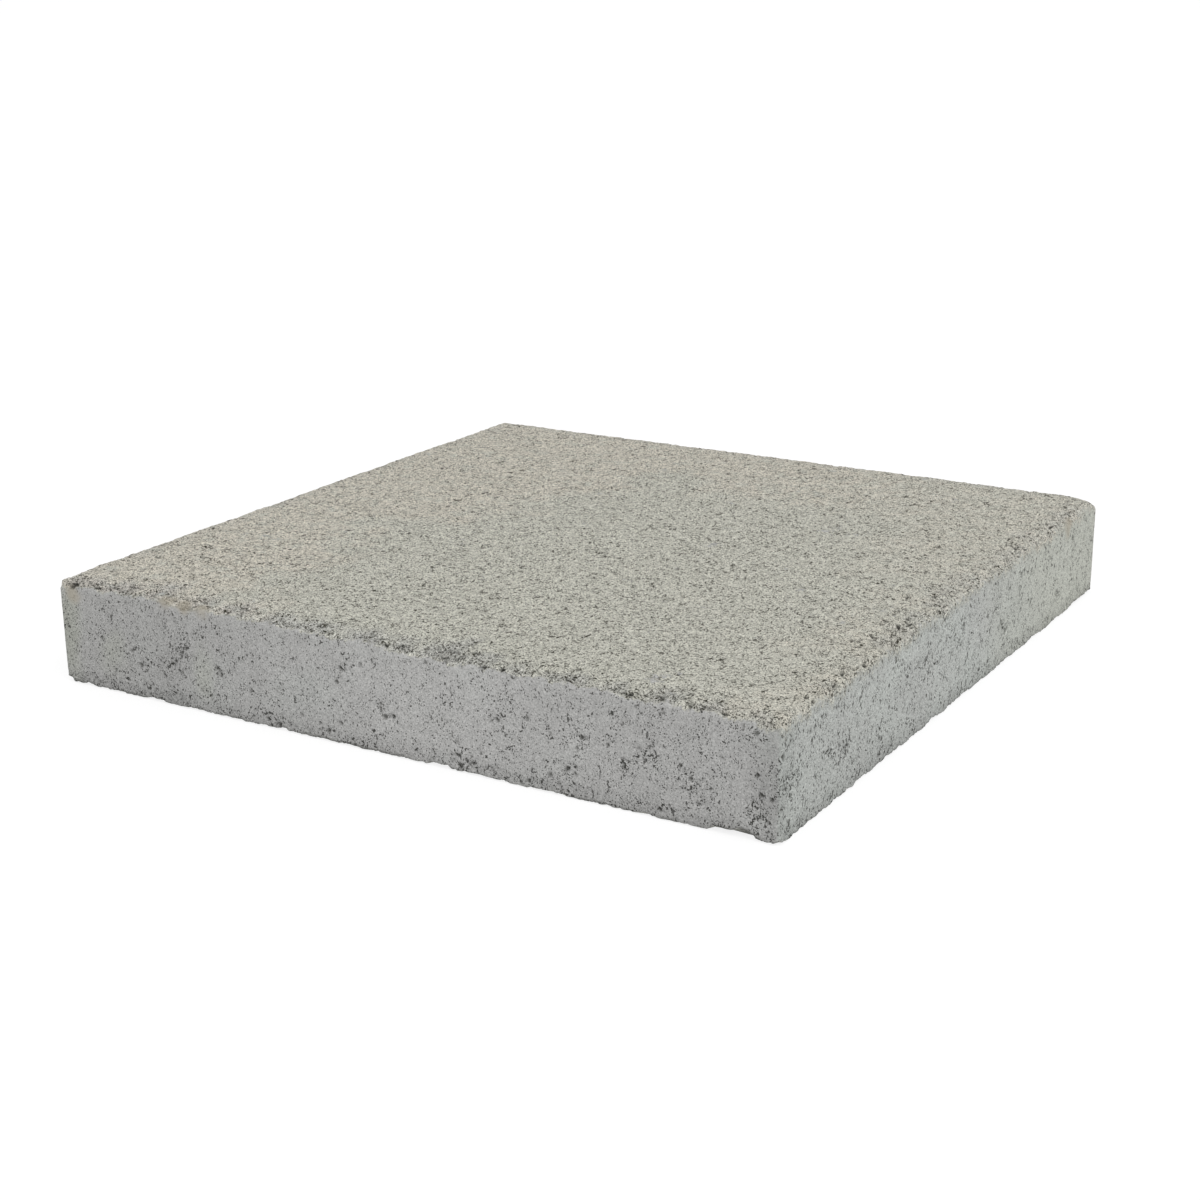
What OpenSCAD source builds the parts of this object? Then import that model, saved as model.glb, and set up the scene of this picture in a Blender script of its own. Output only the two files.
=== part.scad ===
// Concrete stepping stone: one square slab, pressed in one piece.
// The origin is at the middle of the bedding face, with +Z up and the sides along X and Y.

/* [Slab] */
// Length of each side of the square, from face to face
slab_side = 298; // [200:1:600]
// Height from the bedding face to the tread
slab_thickness = 41; // [25:0.5:80]

/* [Edges] */
// Radius of the four upright corners
corner_radius = 1.5; // [0.5:0.25:3]
// Radius of the rounded edge between the tread and the sides
arris_radius = 3; // [1:0.25:12]

/* [Hidden] */
$fn = 96;
// Colour of the dry, sandy concrete
concrete_grey = [0.68, 0.68, 0.64];
// Distance between the centres of two neighbouring upright corners
straight_length = slab_side - 2 * corner_radius;
// How far the edge rounding reaches past the slab, so that it cuts cleanly through
overrun = 5;

// Outline of the slab: a square with rounded corners
module slab_outline() {
    square([straight_length, slab_side], center = true);
    square([slab_side, straight_length], center = true);
    for (x = [-1, 1], y = [-1, 1])
        translate([x, y] * straight_length / 2) circle(r = corner_radius);
}

// What the press plate's rounded rim takes off along one top edge
module edge_waste() {
    translate([0, slab_side / 2 - arris_radius, slab_thickness - arris_radius])
        rotate([90, 0, 90])
            linear_extrude(height = slab_side + 2 * overrun, center = true)
                difference() {
                    square(arris_radius + overrun);
                    circle(r = arris_radius);
                }
}

// The cast concrete slab: upright sides, and a tread whose four edges are rounded and meet in mitres
module slab() {
    color(concrete_grey)
        difference() {
            linear_extrude(height = slab_thickness) slab_outline();
            for (turn = [0:90:270]) rotate([0, 0, turn]) edge_waste();
        }
}

slab();
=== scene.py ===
# %% [markdown]
# # A concrete stepping stone
# The real thing is one block of dry-cast concrete. Damp sandy mix is shaken and pressed
# in a steel mould, and pushed out while it still stands by itself. Three finishes come
# from that: a sandy tread under the press plate, four sides wiped by the mould walls,
# and a bedding face that sat on the pallet.
# The CAD slab gives the true size, so the visual stone grows out of a copy of it: a
# fine even mesh, pressed in by layers of wear, pits and grain, then thinned again.

# %% Load the fixed frame
import math

import bmesh
import bpy
import numpy as np
from mathutils import Matrix, Vector
from mathutils.kdtree import KDTree


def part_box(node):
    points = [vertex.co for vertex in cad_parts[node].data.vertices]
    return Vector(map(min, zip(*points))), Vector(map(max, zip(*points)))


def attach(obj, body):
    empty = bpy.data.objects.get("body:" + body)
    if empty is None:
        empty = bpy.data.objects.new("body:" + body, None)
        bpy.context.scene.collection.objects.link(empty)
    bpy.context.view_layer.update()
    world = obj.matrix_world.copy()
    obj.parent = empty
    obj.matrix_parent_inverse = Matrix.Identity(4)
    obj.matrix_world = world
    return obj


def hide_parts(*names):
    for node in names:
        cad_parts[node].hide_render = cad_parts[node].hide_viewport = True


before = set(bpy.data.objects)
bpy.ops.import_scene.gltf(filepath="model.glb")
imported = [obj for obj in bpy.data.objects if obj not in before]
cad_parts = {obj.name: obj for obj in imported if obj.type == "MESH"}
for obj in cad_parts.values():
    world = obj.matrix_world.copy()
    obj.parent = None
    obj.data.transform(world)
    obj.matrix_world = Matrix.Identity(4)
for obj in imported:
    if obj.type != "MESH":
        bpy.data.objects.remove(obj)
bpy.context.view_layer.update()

MM = 0.001
stone_low, stone_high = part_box("slab")
stone_side = stone_high.x - stone_low.x
stone_thickness = stone_high.z - stone_low.z
print("slab", round(stone_side / MM, 2), "mm square,", round(stone_thickness / MM, 2), "mm thick")

# %% [markdown]
# ## The camera
# A stone like this is pictured lying flat, seen from a little above and turned so that
# one corner points forwards. The camera is placed by two angles and a distance in
# stone widths, so it frames the slab the same way if the slab's size is changed.

# %% Camera
VIEW_AZIMUTH = math.radians(31.158)
VIEW_ELEVATION = math.radians(17.845)
VIEW_ROLL = math.radians(-0.489)
VIEW_DISTANCE = 2.7394 * stone_side
VIEW_RIGHT = -0.01253 * stone_side
VIEW_UP = 0.04416 * stone_side
LENS_MM = 61.24
SENSOR_MM = 36


def add_object(name, data):
    """Puts a camera, a lamp or a mesh into the scene."""
    thing = bpy.data.objects.new(name, data)
    bpy.context.scene.collection.objects.link(thing)
    return thing


def make_camera():
    """A camera that looks back along the direction given by the two angles."""
    backwards = Vector((
        math.sin(VIEW_AZIMUTH) * math.cos(VIEW_ELEVATION),
        -math.cos(VIEW_AZIMUTH) * math.cos(VIEW_ELEVATION),
        math.sin(VIEW_ELEVATION),
    ))
    level_right = Vector((0, 0, 1)).cross(backwards).normalized()
    level_up = backwards.cross(level_right)
    right = math.cos(VIEW_ROLL) * level_right + math.sin(VIEW_ROLL) * level_up
    up = -math.sin(VIEW_ROLL) * level_right + math.cos(VIEW_ROLL) * level_up
    place = backwards * VIEW_DISTANCE + right * VIEW_RIGHT + up * VIEW_UP
    lens = bpy.data.cameras.new("camera")
    lens.lens = LENS_MM
    lens.sensor_width = SENSOR_MM
    camera = add_object("camera", lens)
    facing = Matrix((right, up, backwards)).transposed().to_4x4()
    camera.matrix_world = Matrix.Translation(place) @ facing
    return camera


scene = bpy.context.scene
scene.view_settings.view_transform = "Standard"
scene.camera = make_camera()
print("camera", round(VIEW_DISTANCE, 3), "m from the stone")

# %% [markdown]
# ## Placing shader nodes
# Materials below are built from many small nodes. Wiring each by hand would bury the
# idea in plumbing, so short helpers do it: they add a node and fill its inputs, with
# numbers or with links, and do arithmetic, a smooth step and a mix of two colours.

# %% Node helpers


def feed(tree, socket, value):
    """Fills one input: another node's output is linked, a number is written in."""
    if isinstance(value, bpy.types.NodeSocket):
        tree.links.new(value, socket)
    else:
        socket.default_value = value


def put(tree, kind, inputs=(), **settings):
    """Adds a node with its settings and its inputs."""
    node = tree.nodes.new(kind)
    for name, value in settings.items():
        setattr(node, name, value)
    for socket, value in dict(inputs).items():
        feed(tree, node.inputs[socket], value)
    return node


def sum_up(tree, operation, *values):
    """One Math node, such as sum_up(tree, "MAXIMUM", a, b)."""
    return put(tree, "ShaderNodeMath", enumerate(values), operation=operation).outputs[0]


def scaled(tree, value, factor, *plus):
    """value * factor, or value * factor + plus."""
    return sum_up(tree, "MULTIPLY_ADD" if plus else "MULTIPLY", value, factor, *plus)


def vector_sum(tree, operation, inputs):
    """The same for places and colours."""
    return put(tree, "ShaderNodeVectorMath", inputs, operation=operation).outputs[0]


def ramp(tree, value, low, high):
    """0 below low, 1 above high, with a smooth turn between them."""
    inputs = {"Value": value, "From Min": low, "From Max": high}
    return put(tree, "ShaderNodeMapRange", inputs, interpolation_type="SMOOTHSTEP").outputs["Result"]


def blend(tree, share, first, second):
    """Mixes two colours by a share from 0 to 1."""
    colours = [c if isinstance(c, bpy.types.NodeSocket) else (*c, 1) for c in (first, second)]
    return put(tree, "ShaderNodeMix", {0: share, 6: colours[0], 7: colours[1]}, data_type="RGBA").outputs[2]


def empty_tree(owner):
    """Switches a material or a world to nodes and clears them."""
    owner.use_nodes = True
    owner.node_tree.nodes.clear()
    return owner.node_tree


# %% [markdown]
# ## The studio
# A pale floor, an even sky for fill and one big soft lamp, high up in front and to the
# right, so that the tread is brightest, the right side next, and the front side in a
# light shade. To the camera the floor and sky are white; to the stone the floor is only
# a pale card that throws some light back up.

# %% Floor and light
FLOOR_REACH = 14.0
FLOOR_GREY = 0.75
SEEN_FLOOR_GREY = 0.25
SEEN_FLOOR_GLOW = 0.82
SKY_LEVEL = 0.74
LAMP_WIDTH = 2.2
LAMP_DISTANCE = 3.4
LAMP_POWER = 30.0
LAMP_FROM = Vector((0.62, -0.36, 0.80)).normalized()


def seen_directly(tree):
    """1 where the camera, a reflection or a clear material looks straight at this."""
    path = put(tree, "ShaderNodeLightPath")
    looks = sum_up(tree, "MAXIMUM", path.outputs["Is Camera Ray"], path.outputs["Is Glossy Ray"])
    return sum_up(tree, "MAXIMUM", looks, path.outputs["Is Transmission Ray"])


def make_floor():
    mesh = bpy.data.meshes.new("floor")
    r = FLOOR_REACH
    mesh.from_pydata([(-r, -r, 0), (r, -r, 0), (r, r, 0), (-r, r, 0)], [], [(0, 1, 2, 3)])
    floor = add_object("floor", mesh)
    paint = bpy.data.materials.new("pale_floor")
    tree = empty_tree(paint)
    card = put(tree, "ShaderNodeBsdfDiffuse", {"Color": (FLOOR_GREY,) * 3 + (1,)})
    seen = put(tree, "ShaderNodeBsdfDiffuse", {"Color": (SEEN_FLOOR_GREY,) * 3 + (1,)})
    glow = put(tree, "ShaderNodeEmission", {"Strength": SEEN_FLOOR_GLOW})
    white = put(tree, "ShaderNodeAddShader", {0: seen.outputs[0], 1: glow.outputs[0]})
    either = {0: seen_directly(tree), 1: card.outputs[0], 2: white.outputs[0]}
    mix = put(tree, "ShaderNodeMixShader", either)
    put(tree, "ShaderNodeOutputMaterial", {"Surface": mix.outputs[0]})
    mesh.materials.append(paint)


def make_sky():
    world = bpy.data.worlds.new("studio")
    tree = empty_tree(world)
    extra = scaled(tree, seen_directly(tree), 1.0 - SKY_LEVEL)
    level = sum_up(tree, "ADD", extra, SKY_LEVEL)
    sky = put(tree, "ShaderNodeBackground", {"Color": (1, 1, 1, 1), "Strength": level})
    put(tree, "ShaderNodeOutputWorld", {"Surface": sky.outputs[0]})
    scene.world = world


def make_lamp():
    lamp = bpy.data.lights.new("soft_lamp", "AREA")
    lamp.size = LAMP_WIDTH
    lamp.energy = LAMP_POWER
    holder = add_object("soft_lamp", lamp)
    holder.location = LAMP_FROM * LAMP_DISTANCE
    holder.rotation_euler = LAMP_FROM.to_track_quat("Z", "Y").to_euler()


make_floor()
make_sky()
make_lamp()
print("floor", FLOOR_REACH * 2, "m across, lamp", LAMP_POWER, "W")

# %% [markdown]
# ## An even fine mesh to work on
# The CAD slab is a few large flat faces, which can't be pitted. It could be cut up with
# Subdivide, but its long triangles would give long slivers. A voxel remesh wraps it in
# even half-millimetre squares instead, and keeps the faces flat.
# The points are then held as rows of numbers in millimetres, so that each layer of wear
# is one short sum over all of them at once.

# %% Voxel copy of the slab
VOXEL_MM = 0.5
SEAM_MM = 0.001


def with_modifier_applied(holder):
    """The object's mesh after its modifier. The object and its old mesh are removed."""
    ready = holder.evaluated_get(bpy.context.evaluated_depsgraph_get())
    result = bpy.data.meshes.new_from_object(ready)
    old = holder.data
    bpy.data.objects.remove(holder)
    bpy.data.meshes.remove(old)
    return result


def even_copy(source, voxel_mm):
    """A new mesh of even quads wrapped round a CAD object, which stays as it is."""
    mesh = source.data.copy()
    seams = bmesh.new()
    seams.from_mesh(mesh)
    bmesh.ops.remove_doubles(seams, verts=seams.verts, dist=SEAM_MM * MM)
    seams.to_mesh(mesh)
    seams.free()
    holder = add_object("voxel_copy", mesh)
    remesh = holder.modifiers.new("remesh", "REMESH")
    remesh.mode = "VOXEL"
    remesh.voxel_size = voxel_mm * MM
    return with_modifier_applied(holder)


def read_vectors(collection, name):
    flat = np.empty(len(collection) * 3, np.float32)
    collection.foreach_get(name, flat)
    return flat.reshape(-1, 3)


stone_mesh = even_copy(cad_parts["slab"], VOXEL_MM)
rest = read_vectors(stone_mesh.vertices, "co") / MM
out = read_vectors(stone_mesh.vertex_normals, "vector")
x, y, z = rest.T
print(len(rest), "points to work on")

# %% [markdown]
# ## Where a point lies on the stone
# Wear depends on place: how far a point is from the outline, the tread and the bed, and
# which way it faces. These are worked out once here. `edge` is the distance in from the
# slab's outline, a square with slightly rounded corners.

# %% Places
half = stone_side / MM / 2
top = stone_thickness / MM
CORNER = 1.5
ARRIS = 3.0
FACE_REACH = 1.5


def smooth(value, low, high):
    """0 below low, 1 above high, smooth between."""
    t = np.clip((value - low) / (high - low), 0, 1)
    return t * t * (3 - 2 * t)


def fade(value, low, high):
    """1 below low, 0 above high, smooth between."""
    return 1 - smooth(value, low, high)


def outline_distance(px, py):
    """How far a point is inside the slab's outline."""
    qx = np.abs(px) - (half - CORNER)
    qy = np.abs(py) - (half - CORNER)
    outside = np.hypot(np.maximum(qx, 0), np.maximum(qy, 0))
    return CORNER - outside - np.minimum(np.maximum(qx, qy), 0)


def span(values):
    """The lowest and the highest value, for printing."""
    return f"from {values.min():.2f} to {values.max():.2f}"


edge = outline_distance(x, y)
below_tread = top - z
upward = np.clip(out[:, 2], 0, 1)
downward = np.clip(-out[:, 2], 0, 1)
sideways = 1 - np.abs(out[:, 2])
on_right = x > half - FACE_REACH
right_face = smooth(x - half, -FACE_REACH, -0.5)
print("edge distance", span(edge), "mm")

# %% [markdown]
# ## Marks by side
# Most marks sit on or near a side. It is easiest to place them as with a ruler, by the
# side and by millimetres along it, from left to right as one looks at it. So the tables
# further down are kept by side, and these helpers turn a row into distances.

# %% Sides
SIDES = ("front", "right", "back", "left")


def rows(table):
    """The rows of a table that is kept by side, each with its side in front."""
    return [(side, *row) for side, members in table.items() for row in members]


def side_place(side, along, height):
    """The point on a side face: `along` runs left to right as one looks at that side."""
    across = along - half
    return {
        "front": (across, -half, height),
        "right": (half, across, height),
        "back": (-across, half, height),
        "left": (-half, -across, height),
    }[side]


def from_side(side):
    """For every point: its place along a side, and how far in from that side it lies."""
    return {
        "front": (half + x, half + y),
        "right": (half + y, half - x),
        "back": (half - x, half - y),
        "left": (half - y, half + x),
    }[side]


def from_above(side, along):
    """How far every point is, seen from above, from a place on a side."""
    mx, my, _ = side_place(side, along, 0)
    return np.hypot(x - mx, y - my)


def from_oval(side, along, height, half_width, half_height):
    """0 in the middle of an oval on a side, 1 on its rim."""
    mx, my, mz = side_place(side, along, height)
    return np.sqrt(((x - mx) ** 2 + (y - my) ** 2) / half_width**2 + ((z - mz) / half_height) ** 2)


print("the front's left end is at", side_place("front", 0, 0))

# %% [markdown]
# ## Random lumps that are the same every time
# Concrete is lumpy at every size. The usual tool is noise on a lattice: random heights
# at the corners of small cubes, with smooth steps between them. The seed is fixed, so
# each run gives the same stone, and the lattice is turned so that its rows never line
# up with the slab's faces.

# %% Noise
LATTICE = 128
TURN_X = Matrix.Rotation(0.7, 3, "X")
TURN_Y = Matrix.Rotation(0.5, 3, "Y")
TURN_Z = Matrix.Rotation(0.9, 3, "Z")
TURN = np.array(TURN_X @ TURN_Y @ TURN_Z).astype(np.float32)


def lumps(points, size, seed):
    """Noise from 0 to 1 whose lumps are about `size` millimetres across."""
    heights = np.random.default_rng(seed).random((LATTICE,) * 3, dtype=np.float32)
    place = (points.astype(np.float32) @ TURN) / np.float32(size)
    low = np.floor(place)
    step = place - low
    step = step * step * (3 - 2 * step)
    a = low.astype(np.int64) % LATTICE
    b = (a + 1) % LATTICE
    total = 0
    for i, wx in ((a[:, 0], 1 - step[:, 0]), (b[:, 0], step[:, 0])):
        for j, wy in ((a[:, 1], 1 - step[:, 1]), (b[:, 1], step[:, 1])):
            for k, wz in ((a[:, 2], 1 - step[:, 2]), (b[:, 2], step[:, 2])):
                total = total + heights[i, j, k] * (wx * wy * wz)
    return total


around = rest * (1, 1, 0)
print("lumps run", span(lumps(rest, 5, 1)))

# %% [markdown]
# ## Crumbs
# Smooth lumps alone look like wax. Damp concrete crumbles into grains with sharp cracks
# between them, and for that the tool is cell noise: one centre is thrown into each
# small cube, and a point belongs to the nearest centre. Where the next centre is almost
# as near, the point lies in a crack. The places are bent by soft lumps first, so that
# the cracks wander instead of running straight.

# %% Crumb cells
CRUMB_LATTICE = 64
BEND = 0.8
FAR_AWAY = 9
CRACK_FROM = 0.02
CRACK_TO = 0.34
STEPS_AROUND = [(i, j, k) for i in (-1, 0, 1) for j in (-1, 0, 1) for k in (-1, 0, 1)]


def crumbs(points, size, seed):
    """Per point: how far its crumb's centre is, how much it is in a crack, the crumb's number."""
    centres = np.random.default_rng(seed).random((CRUMB_LATTICE,) * 3 + (4,), dtype=np.float32)
    bend = np.column_stack([lumps(points, size * BEND, seed + i) for i in range(3)]) * BEND
    place = (points.astype(np.float32) @ TURN) / np.float32(size) + bend
    cube = np.floor(place).astype(np.int32)
    near = np.full(len(points), FAR_AWAY, np.float32)
    after = near.copy()
    own = np.zeros(len(points), np.float32)
    for step in STEPS_AROUND:
        there = cube + np.array(step, np.int32)
        key = there % CRUMB_LATTICE
        centre = centres[key[:, 0], key[:, 1], key[:, 2]]
        away = np.linalg.norm(there + centre[:, :3] - place, axis=1)
        closer = away < near
        after = np.where(closer, near, np.minimum(after, away))
        own = np.where(closer, centre[:, 3], own)
        near = np.where(closer, away, near)
    return near, fade(after - near, CRACK_FROM, CRACK_TO), own


crumb_near, crumb_crack, crumb_own = crumbs(rest, 3.0, 71)
_, grit_crack, grit_own = crumbs(rest, 1.55, 81)
pebble_near, _, pebble_own = crumbs(rest, 5.5, 91)
print("share of points in a crack", round(float((crumb_crack > 0.5).mean()), 2))

# %% [markdown]
# ## Two skins
# The mould walls smear the sides into a close, greyer skin. It stops about two
# millimetres below the tread, because the top edge is formed by the press plate and
# keeps its open sandy grain. `skin` is the distance below that line: negative on the
# sand, positive on the wiped side. Here and there a tongue of sand reaches lower. On
# the front and back a thin pale lip of paste was dragged up along the line.

# %% Line between the sand and the wiped skin
SAND_TONGUES = {  # place along the side, half width, how far the sand reaches down
    "front": [
        (4, 9, 2.6), (32, 5, 0.5), (62, 9, 0.8), (76, 4, 0.9), (152, 3, 1.1), (163, 4, 0.9), (178, 5, 1.4),
        (190, 4, 1.2), (246, 3, 0.9), (268, 8, 0.6), (294, 6, 1.6),
    ],
    "right": [
        (4, 5, 1.4), (19, 6, 1.5), (36, 5, 4.2), (42, 3, 1.5), (66, 8, 1.8), (87, 4, 1.2), (130, 6, 1.6),
        (203, 4, 1), (226, 3, 1.2), (241, 4, 1.1), (287, 12, 0.6),
    ],
    "back": [(60, 8, 2), (214, 6, 1.5)],
    "left": [(95, 7, 1.8), (240, 5, 2.2)],
}
LINE_DEPTH = 1.9
CLEAN_LINE = 2.0
RAGGED_LINE = 3.0
LIP_STRENGTH = 0.35

raggedness = np.where(np.abs(y) > half - 1, CLEAN_LINE, RAGGED_LINE)
wander = 0.9 * (lumps(around, 9, 11) - 0.5) + 0.9 * (lumps(around, 2.6, 12) - 0.5)
line_depth = LINE_DEPTH + raggedness * wander
for side, along, half_width, reach in rows(SAND_TONGUES):
    line_depth += reach * fade(from_above(side, along), 0, half_width)
skin = below_tread - line_depth
sand = fade(skin, -0.4, 0.4)
sand_face = sand * (1 - downward)
lip = LIP_STRENGTH * smooth(np.abs(y), half - 3, half - 1) * smooth(lumps(around, 14, 13), 0.25, 0.6)
print("sand line", span(line_depth), "mm down")

# %% [markdown]
# ## How loose the concrete is
# Where the mix was pressed less, its crumbs stand apart: in patches along the tread's
# edges, low down on the sides, and in small sponge-like nests. One measure from 0 to 1
# drives all of it, the cracks pressed into the mesh and the fine gaps that the material
# draws. The patches are placed one by one, because each mould fill leaves its own. The
# front edge crumbled most: its patches reach further in, and even between them it is
# looser than the edges further back.

# %% Looseness
LOOSE_EDGES = {  # place along the side, half length, how far in, strength
    "front": [
        (12, 9, 9, 0.55), (29, 9, 9, 0.85), (45, 7, 10, 0.8), (66, 9, 8, 0.45), (82, 7, 6, 0.7),
        (101, 8, 6, 0.8), (118, 9, 8, 0.75), (141, 10, 7, 0.95), (156, 6, 6, 0.8), (173, 9, 11, 1),
        (187, 7, 6, 0.85), (201, 7, 7, 0.75), (221, 9, 9, 0.95), (238, 6, 6, 0.65), (255, 8, 8, 0.95),
        (273, 7, 8, 0.95), (290, 5, 6, 0.4),
    ],
    "right": [
        (14, 8, 6, 0.3), (38, 8, 8, 0.42), (51, 6, 6, 0.32), (67, 9, 6, 0.34), (86, 8, 9, 0.56),
        (99, 9, 9, 0.56), (112, 8, 9, 0.5), (133, 9, 12, 0.48), (146, 8, 14, 0.4), (163, 9, 12, 0.36),
        (202, 8, 8, 0.38), (213, 6, 8, 0.4), (224, 9, 10, 0.34), (247, 7, 7, 0.38), (263, 7, 8, 0.38),
        (277, 5, 7, 0.32),
    ],
    "back": [(40, 20, 7, 0.28), (110, 14, 6, 0.34), (180, 22, 5, 0.25), (250, 16, 7, 0.34)],
    "left": [(36, 18, 6, 0.32), (104, 15, 5, 0.28), (170, 20, 7, 0.34), (248, 16, 6, 0.25)],
}
NESTS = {  # place along the side, height, half width, half height, strength
    "front": [
        (15, 33, 5, 3, 0.8), (52, 15, 5, 5, 1), (60, 24, 5, 6, 0.9), (76, 17, 3, 3, 0.9),
        (41, 5, 5, 3, 0.8), (69, 7, 4, 4, 0.6), (110, 27, 4, 3, 0.6), (132, 28, 5, 3, 0.6),
        (148, 17, 5, 4, 0.7), (177, 4, 7, 4, 0.7), (228, 21, 5, 4, 0.7), (244, 15, 4, 4, 0.9),
        (251, 20, 4, 4, 0.8), (268, 14, 9, 8, 0.7), (290, 9, 8, 8, 0.9), (222, 9, 4, 4, 0.8),
        (192, 3, 5, 3, 0.8), (250, 4, 8, 3, 0.7), (105, 4, 7, 3, 0.5), (270, 8, 4, 3, 0.8),
        (33, 8, 5, 4, 0.6),
    ],
    "right": [
        (5, 19, 7, 6, 0.9), (35, 18, 5, 4, 0.7), (48, 16, 4, 4, 0.6), (78, 4, 6, 3, 0.7),
        (120, 22, 7, 6, 0.6), (181, 23, 7, 5, 0.8), (192, 15, 5, 5, 0.8), (254, 12, 6, 4, 0.5),
        (206, 3, 9, 3, 0.7), (152, 3, 7, 3, 0.6),
    ],
    "back": [(44, 20, 9, 7, 0.7), (120, 10, 12, 6, 0.6), (205, 27, 7, 6, 0.6), (262, 14, 8, 9, 0.7)],
    "left": [(30, 12, 8, 6, 0.7), (98, 24, 9, 7, 0.6), (171, 9, 12, 5, 0.7), (236, 22, 6, 8, 0.6)],
}
FRONT_REACH = 1.5
FRONT_BASE = 0.42
FRONT_SHARE = 0.5
EDGE_BASE = 0.20
FRONT_EXTRA = 0.12
STRIP_FROM = 16
STRIP_TO = 12
LOW_SHARE = 0.60

ragged = lumps(rest, 7, 21) - 0.5
band = np.zeros(len(rest), np.float32)
for side, along, half_length, reach_in, strength in rows(LOOSE_EDGES):
    place_along, inset = from_side(side)
    if side == "front":
        reach_in *= FRONT_REACH
        strength = FRONT_BASE + FRONT_SHARE * strength
    reach = np.hypot((place_along - along) / half_length, np.maximum(inset - 1, 0) / reach_in)
    band = np.maximum(band, strength * fade(0.8 * reach + 0.8 * ragged, 0.35, 1.1))
front_strip = smooth(-y, half - STRIP_FROM, half - STRIP_TO)
right_strip = smooth(x, half - STRIP_FROM, half - STRIP_TO)
near_front = np.maximum(front_strip, right_strip)
everywhere = EDGE_BASE + FRONT_EXTRA * front_strip * (1 - right_strip)
band = np.maximum(band, everywhere * fade(edge + 9 * ragged, 2, 12))
low_strip = fade(z + 5 * ragged, 2, 8) * sideways * np.where(on_right, 0.5, 1)
nests = np.zeros(len(rest), np.float32)
for *oval, strength in rows(NESTS):
    nests = np.maximum(nests, strength * fade(from_oval(*oval) + 0.6 * ragged, 0.2, 1.2))
loose = np.maximum.reduce([band * sand_face, low_strip * LOW_SHARE, nests * sideways * (1 - sand)])
loose = np.clip(loose, 0, 1)
print("share of the stone that is loose", round(float((loose > 0.3).mean()), 3))
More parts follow.
